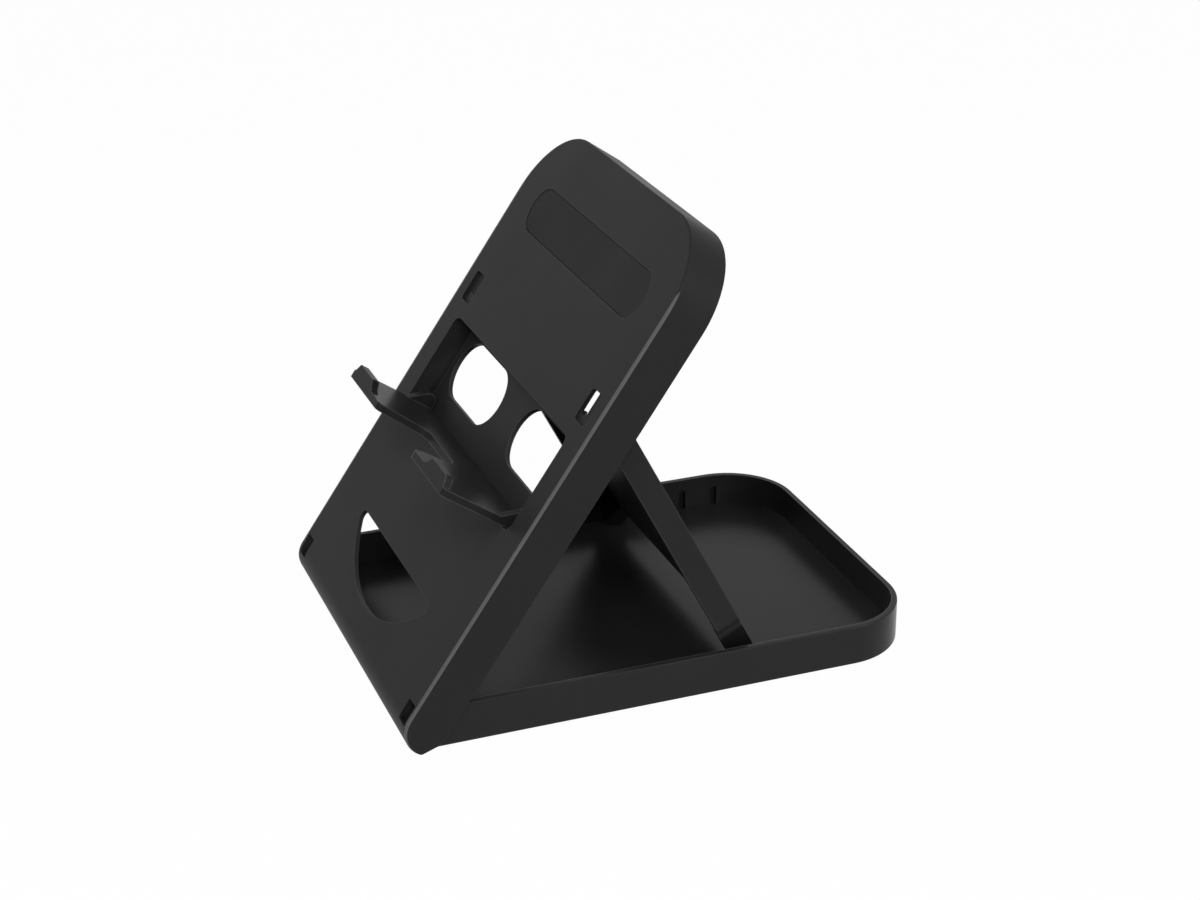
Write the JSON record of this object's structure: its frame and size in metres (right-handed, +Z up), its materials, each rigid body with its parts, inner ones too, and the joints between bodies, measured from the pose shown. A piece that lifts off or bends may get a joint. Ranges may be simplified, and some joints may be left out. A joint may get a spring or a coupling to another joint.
{
  "type": "folding console stand",
  "caption": "Folding desk stand for a handheld games console: sloping panel, tray base, rear leg and a fold-out ledge.",
  "frame": {"origin": "on the table, in the middle of the open stand's width and length", "axes": "+X across the stand, +Y from the front hinge to the tray's far end, +Z up"},
  "size_m": [0.0988, 0.1326, 0.1155],
  "materials": {
    "shell_plastic": "satin",
    "pad_rubber": "matte",
    "foot_rubber": "matte"
  },
  "bodies": {
    "tray": {"base_tray": "shell_plastic", "foot_front_left": "foot_rubber", "foot_front_right": "foot_rubber", "foot_rear_left": "foot_rubber", "foot_rear_right": "foot_rubber"},
    "panel": {"front_panel": "shell_plastic", "grip_pad": "pad_rubber"},
    "leg": {"support_leg": "shell_plastic"},
    "ledge": {"console_ledge": "shell_plastic"}
  },
  "joints": [
    {"name": "panel_hinge", "type": "hinge", "parent": "tray", "child": "panel", "pos_m": [0, -0.06072, 0.00685], "axis": [1, 0, 0], "range_deg": [0, 38]},
    {"name": "leg_hinge", "type": "hinge", "parent": "panel", "child": "leg", "pos_m": [0, -0.01435, 0.07359], "axis": [1, 0, 0], "range_deg": [-62, 0]},
    {"name": "ledge_hinge", "type": "hinge", "parent": "panel", "child": "ledge", "pos_m": [0, -0.03296, 0.05003], "axis": [1, 0, 0], "range_deg": [-90, 0]}
  ],
  "couplings": [
    {"joint": "leg_hinge", "follows": "panel_hinge", "ratio": -1.63}
  ]
}
